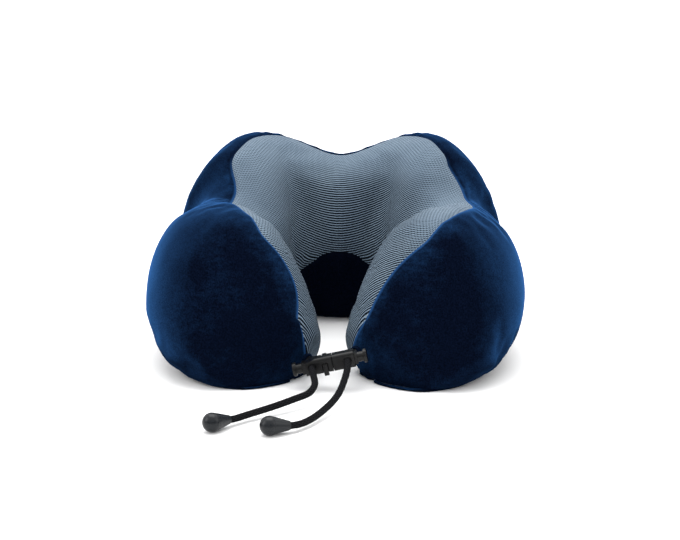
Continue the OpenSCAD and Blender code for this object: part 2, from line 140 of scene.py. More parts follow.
def ridge(a, side):
    """Upper edge of the mesh: round the outside on the left arm, a little inside it on the right."""
    arm = smooth((a - .45) / .12) * (1 - smooth((a - .93) / .07) * (side > 0))
    tip = smooth((a - .93) / .08)
    shift = 10 * arm + 28 * tip if side < 0 else -12 * arm
    return 90 + 3 * (1 - smooth((a - .3) / .15)) + shift


def outer_v(a, z):
    """v on the outer side where the skin has the height z."""
    h = curve(HEIGHTS, a)
    middle = curve(WIDEST_AT, a) * h
    share = (z * (h - FLOOR_CUT) / h + FLOOR_CUT) / middle
    return -np.degrees(np.arcsin((1 - share)**(LOW_POWER / 2)))


# ---------------------------------------------------------------- meshes
SIDES = (("left", -1), ("right", 1))


def build(name, points, faces, uvs=None):
    """A mesh object of these points and faces, outward normals, smooth, with sharp rims."""
    bm = bmesh.new()
    verts = [bm.verts.new(p) for p in points]
    layer = bm.loops.layers.uv.new("weave") if uvs is not None else None
    for f in faces:
        try:
            face = bm.faces.new([verts[i] for i in f])
        except ValueError:
            continue
        face.smooth = True
        if layer:
            for loop, i in zip(face.loops, f):
                loop[layer].uv = uvs[i]
    bmesh.ops.remove_doubles(bm, verts=bm.verts, dist=2e-6)
    bmesh.ops.dissolve_degenerate(bm, edges=bm.edges, dist=1e-7)
    bmesh.ops.recalc_face_normals(bm, faces=bm.faces)
    mesh = bpy.data.meshes.new(name)
    bm.to_mesh(mesh)
    bm.free()
    mesh.set_sharp_from_angle(angle=math.radians(50))
    obj = bpy.data.objects.new(name, mesh)
    bpy.context.scene.collection.objects.link(obj)
    return obj


def grid_faces(rows, cols, start=0, turned=False):
    """Quads of a grid whose points are numbered row by row."""
    faces = []
    for i in range(rows - 1):
        for j in range(cols - 1):
            a = start + i * cols + j
            quad = (a, a + 1, a + cols + 1, a + cols)
            faces.append(quad[::-1] if turned else quad)
    return faces


def sheet_faces(rows, cols):
    """Faces of a closed sheet: an outer grid, an inner grid and four rims."""
    n = rows * cols
    faces = grid_faces(rows, cols) + grid_faces(rows, cols, n, turned=True)
    for j in range(cols - 1):
        for i in (0, rows - 1):
            a = i * cols + j
            faces.append((a, a + n, a + 1 + n, a + 1))
    for i in range(rows - 1):
        for j in (0, cols - 1):
            a = i * cols + j
            faces.append((a, a + cols, a + cols + n, a + n))
    return faces


def skin_normals(a, v):
    """Outward normals of the skin, the same for neighbouring panels."""
    step = .0015
    ahead, behind = np.minimum(a + step, .9999), np.minimum(np.maximum(a - step, 1e-5), .9992)
    du = skin(ahead, v) - skin(behind, v)
    dv = skin(a, v + .8) - skin(a, v - .8)
    n = np.cross(dv, du)
    return n / np.maximum(np.linalg.norm(n, axis=-1, keepdims=True), 1e-12)


def stations(count, a_end=1.0):
    """Stations along one half, at about equal steps on the widest line round the pillow."""
    fine = a_end - a_end * (1 - np.linspace(0, 1, 1500))**2
    rings = skin(fine[:, None], np.arange(0, 360, 15)[None, :])
    steps = np.linalg.norm(np.diff(rings, axis=0), axis=-1).max(1)
    way = np.concatenate([[0], np.cumsum(steps)])
    return np.interp(np.linspace(0, way[-1], count), way, fine)


def edge_weights(count, edge=9, fine=.27):
    """Shares of the way across a panel, closer together at both seams."""
    w = np.ones(count - 1)
    ramp = np.linspace(fine, 1, edge)
    w[:edge], w[-edge:] = ramp, ramp[::-1]
    return np.concatenate([[0], np.cumsum(w)]) / w.sum()


def across_panel(a, low, high, shares):
    """v at each share of the arc length from low to high, with the arc lengths, for every row."""
    fine = np.linspace(0, 1, 240)
    v = low[:, None] + (high - low)[:, None] * fine
    p = skin(a[:, None], v)
    way = np.concatenate([np.zeros((len(a), 1)),
                          np.cumsum(np.linalg.norm(np.diff(p, axis=1), axis=-1), 1)], 1)
    out, lengths = [], []
    for k in range(len(a)):
        target = shares * way[k, -1]
        out.append(np.interp(target, way[k], v[k]) if way[k, -1] > 1e-9 else
                   low[k] + (high[k] - low[k]) * shares)
        lengths.append(target)
    return np.array(out), np.array(lengths)


def fractal(points, scale, octaves=3, seed=0.0):
    """Smooth noise about 0 at each point."""
    shape = points.shape[:-1]
    flat = points.reshape(-1, 3) / scale + seed
    return np.array([noise.fractal(Vector(p), 1.0, 2.0, octaves) for p in flat]).reshape(shape)


# ---------------------------------------------------------------- materials
def material(name):
    """A new node material with its tree and its shader."""
    mat = bpy.data.materials.new(name)
    mat.use_nodes = True
    tree = mat.node_tree
    tree.nodes.clear()
    out = tree.nodes.new("ShaderNodeOutputMaterial")
    shader = tree.nodes.new("ShaderNodeBsdfPrincipled")
    tree.links.new(shader.outputs[0], out.inputs[0])
    return mat, tree, shader


def put(tree, socket, value):
    """Links a socket into an input, or sets the input to a value."""
    if isinstance(value, bpy.types.NodeSocket):
        tree.links.new(value, socket)
    elif value is not None:
        socket.default_value = value


def node(tree, kind, *values, out=0, **props):
    """A new node with its inputs set or linked in order; returns one of its outputs."""
    n = tree.nodes.new("ShaderNode" + kind)
    inputs = {k[3:]: v for k, v in props.items() if k.startswith("in_")}
    for k, v in props.items():
        if not k.startswith("in_"):
            setattr(n, k, v)
    for socket, value in zip(n.inputs, values):
        put(tree, socket, value)
    for k, v in inputs.items():
        put(tree, n.inputs[k], v)
    return n.outputs[out]


def maths(tree, operation, *values):
    return node(tree, "Math", *values, operation=operation)


def ramp(tree, value, low, high, to_low=0.0, to_high=1.0, kind="SMOOTHSTEP"):
    return node(tree, "MapRange", value, low, high, to_low, to_high, interpolation_type=kind)


def mix(tree, share, a, b):
    n = tree.nodes.new("ShaderNodeMix")
    n.data_type = "RGBA"
    put(tree, n.inputs[0], share)
    put(tree, n.inputs[6], a)
    put(tree, n.inputs[7], b)
    return n.outputs[2]


def colour(r, g, b):
    return (r, g, b, 1)


def noise_of(tree, coords, scale, detail=3, roughness=.5):
    return node(tree, "TexNoise", in_Vector=coords, in_Scale=scale, in_Detail=detail,
                in_Roughness=roughness)


def bump(tree, height, strength, distance):
    return node(tree, "Bump", in_Strength=strength, in_Distance=distance, in_Height=height)


def velour_material(name, dark, pale, painted_edge_on_sheen, painted_seam_sheen_strength=0.0, painted_back_shade_factor=1.0):
    """Short brushed pile of random tone, near black seen straight on, with a painted blue sheen at a slant,
    painted shade on faces turned down, and on the arms a patchy painted sheen and a painted highlight line
    beside the seam.
    """
    mat, t, s = material(name)
    where = node(t, "TexCoord", out=3)
    patches = noise_of(t, where, 30, 5, .62)
    strokes = noise_of(t, node(t, "VectorMath", where, (1, 1, 2.4), operation="MULTIPLY"), 150, 3, .6)
    pile = noise_of(t, where, 1100, 2)
    # Painted sheen: the colour turns pale blue where the surface is seen at a slant, weaker on faces turned
    # up; painted shade on faces turned down cuts it to a tenth.
    slant = node(t, "LayerWeight", .5, out=1)
    facing_up = t.nodes.new("ShaderNodeSeparateXYZ")
    put(t, facing_up.inputs[0], node(t, "NewGeometry", out=1))
    seam = t.nodes.new("ShaderNodeSeparateXYZ")
    put(t, seam.inputs[0], node(t, "UVMap", uv_map="weave"))
    # Painted sheen beside the seam on the arms, patchy with the brushed tone; it joins the random brushed tone
    # of the pile.
    on_arm = maths(t, "MULTIPLY", ramp(t, seam.outputs[1], .40, .55), painted_seam_sheen_strength)
    brushed = maths(t, "MULTIPLY", ramp(t, patches, .3, .7), ramp(t, strokes, .3, .7, .4, 1))
    beside_seam = maths(t, "MULTIPLY", ramp(t, seam.outputs[0], 0, .022, .5, 0), on_arm)
    painted_sheen_by_seam = maths(t, "MULTIPLY", beside_seam, brushed)
    brushed_tone_and_seam_sheen = maths(t, "ADD", maths(t, "MULTIPLY", brushed, .075), painted_sheen_by_seam)
    painted_shade_underneath = ramp(t, facing_up.outputs[2], -.5, .05, .10, 1)
    painted_slant_sheen = maths(t, "MULTIPLY", maths(t, "POWER", slant, 1.75),
                   maths(t, "MULTIPLY", painted_shade_underneath, ramp(t, facing_up.outputs[2], .1, .9, .88, .25)))
    grain = ramp(t, pile, .3, .7, .72, 1.38, "LINEAR")
    # Painted shade: with a factor below 1 the lift towards the pale colour fades towards the back of the
    # panel.
    grain = maths(t, "MULTIPLY", grain, ramp(t, seam.outputs[1], .45, .85, painted_back_shade_factor, 1))
    # The lift towards the pale colour is the painted sheen added to the random brushed tone of the pile.
    lift = maths(t, "MULTIPLY", maths(t, "ADD", brushed_tone_and_seam_sheen, painted_slant_sheen), grain)
    face = mix(t, ramp(t, pile, .3, .7), tuple(c * .6 for c in dark[:3]) + (1,),
               tuple(c * 1.6 for c in dark[:3]) + (1,))
    body = mix(t, ramp(t, lift, .03, .95, kind="LINEAR"), face, pale)
    # Painted highlight: a thin line of the edge-on colour right at the seam on the arms; with it a painted
    # sheen where the surface is seen almost edge on, weak on faces turned down.
    raised = maths(t, "MULTIPLY", ramp(t, seam.outputs[0], .0006, .0028, 1, 0), on_arm)
    edge = maths(t, "MAXIMUM", maths(t, "MULTIPLY", maths(t, "POWER", slant, 9.0), painted_shade_underneath), raised)
    put(t, s.inputs["Base Color"], mix(t, edge, body, painted_edge_on_sheen))
    put(t, s.inputs["Roughness"], .95)
    put(t, s.inputs["Specular IOR Level"], 0.0)
    put(t, s.inputs["Sheen Weight"], .03)
    put(t, s.inputs["Sheen Roughness"], .45)
    put(t, s.inputs["Sheen Tint"], colour(.15, .4, .9))
    height = maths(t, "MULTIPLY_ADD", patches, 1.2, pile)
    put(t, s.inputs["Normal"], bump(t, height, .3, .0005))
    return mat


RIB_PITCH = .0018
HOLE_PITCH = .0021


def mesh_fabric_material():
    """Knitted mesh: pale ribs along the rows, dark holes between them in staggered order, with painted shade
    towards the middle of the back and low down, and painted light near the top and on the arms.
    """
    mat, t, s = material("mesh_fabric")
    uv = node(t, "UVMap", uv_map="weave")
    xyz = t.nodes.new("ShaderNodeSeparateXYZ")
    put(t, xyz.inputs[0], uv)
    place = t.nodes.new("ShaderNodeSeparateXYZ")
    where = node(t, "TexCoord", out=3)
    put(t, place.inputs[0], where)
    wobble = noise_of(t, where, 60, 2)
    row = maths(t, "ADD", maths(t, "DIVIDE", xyz.outputs[1], RIB_PITCH),
                maths(t, "MULTIPLY", wobble, .25))
    gap = maths(t, "FLOOR", row)
    column = maths(t, "ADD", maths(t, "DIVIDE", xyz.outputs[0], HOLE_PITCH),
                   maths(t, "MULTIPLY", gap, .5))
    rib = maths(t, "COSINE", maths(t, "MULTIPLY", row, 2 * math.pi))
    bridge = maths(t, "COSINE", maths(t, "MULTIPLY", column, 2 * math.pi))
    loops = maths(t, "COSINE", maths(t, "MULTIPLY", xyz.outputs[0], 4 * math.pi / HOLE_PITCH))
    # Painted shade: towards the middle of the back, a little right of it, and low down the crossing threads
    # fade and the holes show black.
    side = maths(t, "ABSOLUTE", maths(t, "SUBTRACT", place.outputs[0], .009))
    reach = maths(t, "MAXIMUM", ramp(t, side, .035, .070), ramp(t, place.outputs[2], .112, .135))
    bridges_out_of_painted_shade = maths(t, "MULTIPLY", reach, ramp(t, place.outputs[2], .05, .10, .25, 1))
    rib_mask = ramp(t, rib, -.15, .7)
    bridge_mask = maths(t, "MULTIPLY", ramp(t, bridge, -.35, .5),
                        maths(t, "MULTIPLY_ADD", bridges_out_of_painted_shade, .66, .06))
    # Painted light: near the top and on the arms the holes are filled in paler, a third of the way to the
    # yarn.
    on_arm = maths(t, "MULTIPLY", ramp(t, side, .045, .075), ramp(t, place.outputs[2], .045, .085))
    painted_light_top_and_arms = maths(t, "MULTIPLY", maths(t, "MAXIMUM", ramp(t, place.outputs[2], .108, .130), on_arm), .34)
    mask = maths(t, "MAXIMUM", maths(t, "MAXIMUM", rib_mask, bridge_mask), painted_light_top_and_arms)
    yarn = mix(t, ramp(t, loops, -1, 1), colour(.112, .165, .225), colour(.228, .305, .390))
    shade = mix(t, noise_of(t, where, 25, 3), colour(.78, .80, .84), colour(1.12, 1.1, 1.06))
    n = t.nodes.new("ShaderNodeMix")
    n.data_type = "RGBA"
    n.blend_type = "MULTIPLY"
    n.inputs[0].default_value = 1
    put(t, n.inputs[6], yarn)
    put(t, n.inputs[7], shade)
    put(t, s.inputs["Base Color"], mix(t, mask, colour(.0004, .0005, .0012), n.outputs[2]))
    put(t, s.inputs["Roughness"], ramp(t, mask, 0, 1, .9, .62, "LINEAR"))
    put(t, s.inputs["Specular IOR Level"], ramp(t, mask, 0, 1, .0, .12, "LINEAR"))
    put(t, s.inputs["Sheen Weight"], maths(t, "MULTIPLY", mask, .06))
    height = maths(t, "MULTIPLY_ADD", loops, .12, mask)
    put(t, s.inputs["Normal"], bump(t, height, .55, .0006))
    return mat


def braid_material(name, tone):
    """Braided polyester: crossing strands along the cord, from its own u (along) and v (round)."""
    mat, t, s = material(name)
    xyz = t.nodes.new("ShaderNodeSeparateXYZ")
    put(t, xyz.inputs[0], node(t, "UVMap", uv_map="weave"))
    along = maths(t, "MULTIPLY", xyz.outputs[0], 2 * math.pi / .0032)
    around = maths(t, "MULTIPLY", xyz.outputs[1], 2 * math.pi * 8)
    one = maths(t, "SINE", maths(t, "ADD", along, around))
    two = maths(t, "SINE", maths(t, "SUBTRACT", along, around))
    weave = maths(t, "MAXIMUM", one, two)
    put(t, s.inputs["Base Color"], mix(t, ramp(t, weave, -.2, 1), colour(.0008, .0008, .001), tone))
    put(t, s.inputs["Roughness"], .8)
    put(t, s.inputs["Specular IOR Level"], .08)
    put(t, s.inputs["Normal"], bump(t, weave, .6, .0004))
    return mat


def plastic_material(name, tone, roughness, grain=900, edge_highlight_share=.5):
    """Moulded plastic: fine spark-eroded grain, slight mottling and a painted highlight on the edges."""
    mat, t, s = material(name)
    where = node(t, "TexCoord", out=3)
    clouds = noise_of(t, where, 90, 4)
    fine = noise_of(t, where, grain * 3, 2)
    bevel = node(t, "Bevel", .0004, samples=4)
    geometry = t.nodes.new("ShaderNodeNewGeometry")
    edge = maths(t, "SUBTRACT", 1, node(t, "VectorMath", bevel, geometry.outputs["Normal"],
                                        out=1, operation="DOT_PRODUCT"))
    # Painted highlight: edges are mixed towards a paler colour, by the given share.
    painted_edge_highlight = maths(t, "MULTIPLY", ramp(t, edge, .01, .2), edge_highlight_share)
    pale = tuple(min(1, c * 2.6 + .012) for c in tone[:3]) + (1,)
    body = mix(t, clouds, tone, tuple(c * 1.35 for c in tone[:3]) + (1,))
    put(t, s.inputs["Base Color"], mix(t, painted_edge_highlight, body, pale))
    put(t, s.inputs["Roughness"], maths(t, "MULTIPLY_ADD", clouds, .16, roughness - .08))
    put(t, s.inputs["Specular IOR Level"], .24)
    put(t, s.inputs["Normal"], node(t, "Bump", in_Strength=.12, in_Distance=.0001, in_Height=fine,
                                    in_Normal=bevel))
    return mat


def metal_material(name, tone, roughness):
    """Cast or drawn metal, a little uneven in tone and polish."""
    mat, t, s = material(name)
    where = node(t, "TexCoord", out=3)
    put(t, s.inputs["Base Color"], mix(t, noise_of(t, where, 300, 3), tone,
                                       tuple(c * .8 for c in tone[:3]) + (1,)))
    put(t, s.inputs["Metallic"], 1.0)
    put(t, s.inputs["Roughness"], ramp(t, noise_of(t, where, 700, 3), 0, 1, roughness - .1,
                                       roughness + .1, "LINEAR"))
    return mat


def foam_material():
    """Cream foam with fine cells."""
    mat, t, s = material("foam")
    where = node(t, "TexCoord", out=3)
    cells = node(t, "TexVoronoi", in_Vector=where, in_Scale=700.0)
    put(t, s.inputs["Base Color"], mix(t, cells, colour(.82, .76, .60), colour(.90, .86, .74)))
    put(t, s.inputs["Roughness"], .95)
    put(t, s.inputs["Normal"], bump(t, cells, .5, .0005))
    return mat


def dotted_material():
    """Grip fabric: dark twill with small raised silicone dots."""
    mat, t, s = material("grip_fabric")
    where = node(t, "TexCoord", out=3)
    cells = node(t, "TexVoronoi", in_Vector=where, in_Scale=190.0, in_Randomness=0.0)
    dots = ramp(t, cells, .26, .30, 1, 0)
    twill = node(t, "TexWave", in_Vector=where, in_Scale=300.0, bands_direction="DIAGONAL")
    cloth = mix(t, twill, colour(.003, .007, .02), colour(.008, .018, .05))
    put(t, s.inputs["Base Color"], mix(t, dots, cloth, colour(.014, .03, .075)))
    put(t, s.inputs["Roughness"], ramp(t, dots, 0, 1, .9, .45, "LINEAR"))
    put(t, s.inputs["Normal"], bump(t, maths(t, "MULTIPLY_ADD", dots, 2, twill), .5, .0004))
    return mat


# Velour colours in order: the face, the painted sheen seen at a slant, the painted sheen seen edge on, and the
# strength of the painted sheen beside the seam.
VELOUR = velour_material("velour", colour(.0014, .0028, .0086), colour(.0175, .0720, .2050),
                         colour(.030, .110, .31), .42)
# The inner velour is a shaded copy of the velour: a darker face colour and painted shade towards the back.
INNER_VELOUR_PAINTED_SHADE = velour_material("inner_velour", colour(.0012, .0020, .0058), colour(.0175, .0720, .2050),
                               colour(.030, .110, .31), .42, .2)
MESH = mesh_fabric_material()
FOAM = foam_material()
GRIP = dotted_material()
CORD = braid_material("cord_braid", colour(.0085, .009, .011))
CLASP = plastic_material("clasp_plastic", colour(.0016, .0017, .0021), .30)
BELL = plastic_material("bell_plastic", colour(.0060, .0074, .0094), .27, edge_highlight_share=.2)
# The zip tape has the same painted sheen at a slant and edge on.
TAPE = velour_material("zip_tape", colour(.002, .004, .011), colour(.006, .018, .05), colour(.01, .03, .08))
TEETH = plastic_material("zip_teeth", colour(.006, .010, .026), .4)
ZIP_METAL = metal_material("zip_metal", colour(.05, .055, .07), .35)
STEEL = metal_material("spring_steel", colour(.6, .6, .62), .3)


def dress(obj, mat):
    """Gives the object this material alone."""
    obj.data.materials.clear()
    obj.data.materials.append(mat)


# ---------------------------------------------------------------- layout of the mesh's knit
def flat_layout(half=34, cols=15, rounds=80):
    """Lays the whole mesh panel flat with the least stretch, as it was cut from the cloth."""
    arm = stations(half, .99997)
    u = np.concatenate([-arm[:0:-1], arm])
    rows = len(u)
    a = np.abs(u)
    low, high = np.full(rows, 70.0), curve(MESH_LOW_EDGES, a) + 16 * smooth((a - .8) / .2)
    v, way = across_panel(a, low, high, np.linspace(0, 1, cols))
    p = skin(u[:, None], v).reshape(-1, 3)
    ids = np.arange(rows * cols).reshape(rows, cols)
    quads = np.stack([ids[:-1, :-1], ids[1:, :-1], ids[1:, 1:], ids[:-1, 1:]], -1).reshape(-1, 4)
    tris = np.concatenate([quads[:, [0, 1, 2]], quads[:, [0, 2, 3]]])
    ridge = p.reshape(rows, cols, 3)[:, 0]
    along = np.concatenate([[0], np.cumsum(np.linalg.norm(np.diff(ridge, axis=0), axis=1))])
    along -= along[rows // 2]
    sweep = 1.75
    bend = (along[-1] - along[0]) / (2 * sweep)
    turn = along / bend
    reach = bend - way
    flat = np.stack([reach * np.sin(turn)[:, None], reach * np.cos(turn)[:, None]], -1).reshape(-1, 2)
    e1, e2 = p[tris[:, 1]] - p[tris[:, 0]], p[tris[:, 2]] - p[tris[:, 0]]
    l1 = np.linalg.norm(e1, axis=1)
    x2 = (e1 * e2).sum(1) / l1
    y2 = np.sqrt(np.maximum((e2**2).sum(1) - x2**2, 1e-16))
    local = np.zeros((len(tris), 3, 2))
    local[:, 1, 0], local[:, 2, 0], local[:, 2, 1] = l1, x2, y2
    f = flat[tris]
    area = np.cross(f[:, 1] - f[:, 0], f[:, 2] - f[:, 0])
    local[:, 2, 1] *= np.sign(np.median(area))
    cot = np.zeros((len(tris), 3))
    for k in range(3):
        b, c = local[:, (k + 1) % 3] - local[:, k], local[:, (k + 2) % 3] - local[:, k]
        cot[:, k] = np.clip((b * c).sum(1) / np.abs(b[:, 0] * c[:, 1] - b[:, 1] * c[:, 0]), .02, 20)
    n = len(p)
    lap = np.zeros((n, n))
    for k in range(3):
        i, j = tris[:, (k + 1) % 3], tris[:, (k + 2) % 3]
        np.add.at(lap, (i, i), cot[:, k])
        np.add.at(lap, (j, j), cot[:, k])
        np.add.at(lap, (i, j), -cot[:, k])
        np.add.at(lap, (j, i), -cot[:, k])
    lap[ids[rows // 2, 0], ids[rows // 2, 0]] += 1
    inverse = np.linalg.inv(lap)
    for _ in range(rounds):
        cov = np.zeros((len(tris), 2, 2))
        for k in range(3):
            i, j = (k + 1) % 3, (k + 2) % 3
            d = flat[tris[:, i]] - flat[tris[:, j]]
            l = local[:, i] - local[:, j]
            cov += cot[:, k, None, None] * d[:, :, None] * l[:, None, :]
        spin = np.arctan2(cov[:, 1, 0] - cov[:, 0, 1], cov[:, 0, 0] + cov[:, 1, 1])
        c, s = np.cos(spin), np.sin(spin)
        rot = np.stack([np.stack([c, -s], -1), np.stack([s, c], -1)], -2)
        rhs = np.zeros((n, 2))
        for k in range(3):
            i, j = (k + 1) % 3, (k + 2) % 3
            d = cot[:, k, None] * np.einsum("tab,tb->ta", rot, local[:, i] - local[:, j])
            np.add.at(rhs, tris[:, i], d)
            np.add.at(rhs, tris[:, j], -d)
        flat = inverse @ rhs
    flat = flat.reshape(rows, cols, 2)
    flat -= flat[rows // 2, 0]
    down = math.atan2(*(flat[rows // 2, -1] - flat[rows // 2, 0]))
    c, s = math.cos(down - math.pi), math.sin(down - math.pi)
    flat = flat @ np.array([[c, s], [-s, c]])
    mirrored = flat[::-1] * (-1, 1)
    return u, v, (flat + mirrored) / 2


KNIT_U, KNIT_V, KNIT = flat_layout()


def knit_at(u, v):
    """Flat place on the cut cloth of each point (u, v) of the mesh panel."""
    rows, cols = KNIT.shape[:2]
    x = np.clip(np.interp(u, KNIT_U, np.arange(rows)), 0, rows - 1.001)
    i = x.astype(int)
    y = np.empty_like(x)
    for k in range(len(u)):
        r, f = i[k, 0], x[k, 0] - i[k, 0]
        y[k] = np.interp(v[k], KNIT_V[r] * (1 - f) + KNIT_V[r + 1] * f, np.arange(cols))
    y = np.clip(y, 0, cols - 1.001)
    j = y.astype(int)
    fx, fy = (x - i)[..., None], (y - j)[..., None]
    return ((KNIT[i, j] * (1 - fx) + KNIT[i + 1, j] * fx) * (1 - fy)
            + (KNIT[i, j + 1] * (1 - fx) + KNIT[i + 1, j + 1] * fx) * fy)


def row_rise(x):
    """The knit's rows are pulled up towards both sides by this much."""
    near = np.minimum(x, .055)
    return near**2 / .26 + .42 * (x - near)


# ---------------------------------------------------------------- cover panels
def relief(points, to_low, to_high, a, low_seam, high_seam):
    """How far the cloth stands off the plain skin: drawn in at the seams, rippled beside them."""
    fade = (1 - smooth((a - .93) / .05))[:, None]
    out = np.zeros(points.shape[:-1])
    ripple = fractal(points, .011, 2, 5.0)
    along = np.concatenate([[0], np.cumsum(np.linalg.norm(np.diff(points[:, 0], axis=0), axis=1))])
    folds = np.array([noise.noise(Vector((s / .0065, 3.0, 7.0))) for s in along])
    bunched = np.array([max(0, .2 + noise.noise(Vector((s / .06, 5.0, 1.0)))) for s in along])
    pulled = (folds * bunched)[:, None]
    patchy = np.clip(.5 + 1.4 * fractal(points, .045, 2, 9.0), 0, 1)
    for d, (depth, width), strength in ((to_low, low_seam, .35), (to_high, high_seam, 1)):
        out -= depth * np.exp(-(d / width)**2) * fade
        for height, shape, reach, clear in ((.0042, pulled, .016, .003), (.0012, ripple * patchy, .011, .002)):
            beside = np.exp(-(d / reach)**2) * (1 - np.exp(-(d / clear)**2))
            out += height * strength * shape * beside * fade
    return out + .0009 * fractal(points, .042, 2, 2.0)


def tucked_in(points, normals, a, side):
    """Near the floor the arms' cloth is drawn in under them, more on the right."""
    depth = (.0052 if side > 0 else .0034) * smooth((a - .5) / .3)
    low = np.clip(1 - points[..., 2] / .05, 0, 1)**1.5
    across = normals * (1, 1, 0)
    return (depth[:, None] * low)[..., None] * across


def seam_places():
    """Points along all seams of both halves, where the cover is sewn and cannot lift."""
    a = stations(110)
    out = []
    for _, side in SIDES:
        for v in (ridge(a, side), mesh_low(a, side), edge_outer(a), edge_inner(a)):
            out.append(skin(a, v) * (side, 1, 1))
    return np.concatenate(out)


def settled_cover(voxel=.0055, frames=20, most=.008):
    """Cloth simulation of the closed cover under its filling's pressure, held at the seams.

    Returns the places before and how far each place moved.
    """
    a = stations(44)
    v = np.arange(0, 360, 6.0)
    half = skin(a[:, None], v[None, :])
    rings = np.concatenate([(half * (-1, 1, 1))[:0:-1], half])
    rows, cols = rings.shape[:2]
    faces = [(i * cols + j, i * cols + (j + 1) % cols, (i + 1) * cols + (j + 1) % cols, (i + 1) * cols + j)
             for i in range(rows - 1) for j in range(cols)]
    obj = build("cover_form", rings.reshape(-1, 3), faces)
    bpy.context.view_layer.objects.active = obj
    remesh = obj.modifiers.new("even_mesh", "REMESH")
    remesh.mode = "VOXEL"
    remesh.voxel_size = voxel
    bpy.ops.object.modifier_apply(modifier=remesh.name)
    count = len(obj.data.vertices)
    before = np.empty(count * 3)
    obj.data.vertices.foreach_get("co", before)
    before = before.reshape(-1, 3)
    places = seam_places()
    seams = kdtree.KDTree(len(places))
    for i, place in enumerate(places):
        seams.insert(place, i)
    seams.balance()
    held = obj.vertex_groups.new(name="sewn")
    for i, place in enumerate(before):
        near = seams.find(place)[2]
        weight = 1.0 if place[2] < .004 or near < .006 else max(0.0, 1 - (near - .006) / .004)
        if weight:
            held.add([i], weight, "REPLACE")
    cloth = obj.modifiers.new("cover", "CLOTH")
    s = cloth.settings
    s.quality = 6
    s.mass = .2
    s.tension_stiffness = s.compression_stiffness = 12
    s.shear_stiffness = 4
    s.bending_stiffness = .4
    s.use_pressure = True
    s.uniform_pressure_force = 4
    s.shrink_min = -.035
    s.vertex_group_mass = held.name
    s.effector_weights.gravity = 0
    cloth.point_cache.frame_start = 1
    cloth.point_cache.frame_end = frames
    for frame_number in range(1, frames + 1):
        bpy.context.scene.frame_set(frame_number)
    shaped = obj.evaluated_get(bpy.context.evaluated_depsgraph_get())
    after = np.empty(count * 3)
    shaped.data.vertices.foreach_get("co", after)
    moved = after.reshape(-1, 3) - before
    size = np.linalg.norm(moved, axis=1, keepdims=True)
    moved *= np.minimum(1, most / np.maximum(size, 1e-9))
    mesh = obj.data
    bpy.data.objects.remove(obj)
    bpy.data.meshes.remove(mesh)
    bpy.context.scene.frame_set(1)
    return before, moved


def lift_at(points, normals, share):
    """How far the settled cover stands off the plain skin at each point."""
    out = np.zeros(points.shape[:-1])
    if SETTLED is None:
        return out
    tree, moved = SETTLED
    for at in np.ndindex(out.shape):
        near = tree.find_n(points[at], 5)
        weights = np.array([1 / (d + .001)**2 for _, _, d in near])
        step = (moved[[i for _, i, _ in near]] * weights[:, None]).sum(0) / weights.sum()
        out[at] = step @ normals[at]
    return share * out


SETTLED = None
before, moved = settled_cover()
SETTLED = (kdtree.KDTree(len(before)), moved)
for i, place in enumerate(before):
    SETTLED[0].insert(place, i)
SETTLED[0].balance()


POLE_NORMAL = skin_normals(np.array([.9985]), np.arange(0, 360, 20.0)).mean(0)
POLE_NORMAL /= np.linalg.norm(POLE_NORMAL)


def panel(name, side, rows, cols, low, high, low_seam, high_seam, a_end=1.0, knit=False, painted_sheen_at_low_seam=False):
    """One closed sheet of the cover on one side, from v = low to v = high."""
    a = stations(rows, a_end)
    lows, highs = low(a), high(a)
    shares = edge_weights(cols)
    v, way = across_panel(a, lows, highs, shares)
    outer = skin(a[:, None], v)
    normals = skin_normals(np.minimum(a, .9985)[:, None], v)
    if a_end == 1:
        normals[-1] = POLE_NORMAL
    normals[0, :, 0] = 0
    normals[0] /= np.linalg.norm(normals[0], axis=-1, keepdims=True)
    stand = relief(outer, way, way[:, -1:] - way, a, low_seam, high_seam)
    mirror = np.array((side, 1, 1))
    free = (1 - np.exp(-(way / .022)**2)) * (1 - np.exp(-((way[:, -1:] - way) / .022)**2))
    stand = stand + lift_at(outer * mirror, normals * mirror, .6) - .0016 * free
    if low is not edge_outer and not knit and not painted_sheen_at_low_seam:
        # The zip's slider passes close over the cover's lower edge
        passed = .0004 + .2 * np.maximum(0, way - .008) + .03 * smooth((a - .21) / .05)[:, None]
        stand = np.minimum(stand, passed)
    outer = outer + normals * stand[..., None] - tucked_in(outer, normals, a, side)
    inner = outer - normals * (CLOTH * .8)
    outer[..., 0] *= side
    inner[..., 0] *= side
    if knit:
        flat = knit_at(np.broadcast_to(side * a[:, None], v.shape), v)
        flat[..., 1] -= row_rise(np.abs(flat[..., 0]))
    else:
        # The first UV coordinate is the distance to the seam that carries the velour's painted sheen and
        # painted highlight line: the lower seam on the inner panel, else the upper seam.
        to_seam = way if painted_sheen_at_low_seam else way[:, -1:] - way
        flat = np.stack([to_seam, np.broadcast_to(a[:, None], v.shape)], -1)
    uvs = np.concatenate([flat.reshape(-1, 2)] * 2)
    points = np.concatenate([outer.reshape(-1, 3), inner.reshape(-1, 3)])
    return build(name, points, sheet_faces(len(a), cols), uvs)


def bend_with_arm(obj):
    """The piece is one cloth over the back and this arm; bakes its transform into its points."""
    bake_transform(obj)


ZIP_END = .205
SKIRT_END = .30


def zip_edge(a, way):
    """Edge of the cloth beside the zip; past the zip's end it runs down to the base."""
    opening = ZIP_HALF_WIDTH * smooth((ZIP_END + .012 - a) / .012)
    near = outer_v(np.minimum(a, SKIRT_END), ZIP_HEIGHT + way * opening)
    down = smooth((a - ZIP_END - .015) / (SKIRT_END - ZIP_END - .015))
    return np.where(a < SKIRT_END, near + (edge_outer(a) - near) * down, edge_outer(a))


# Depth and width of the groove at each kind of seam
SEAM = (.0014, .0022)
LOWER_SEAM = (.0012, .0020)
BASE_SEAM = (.0003, .0020)

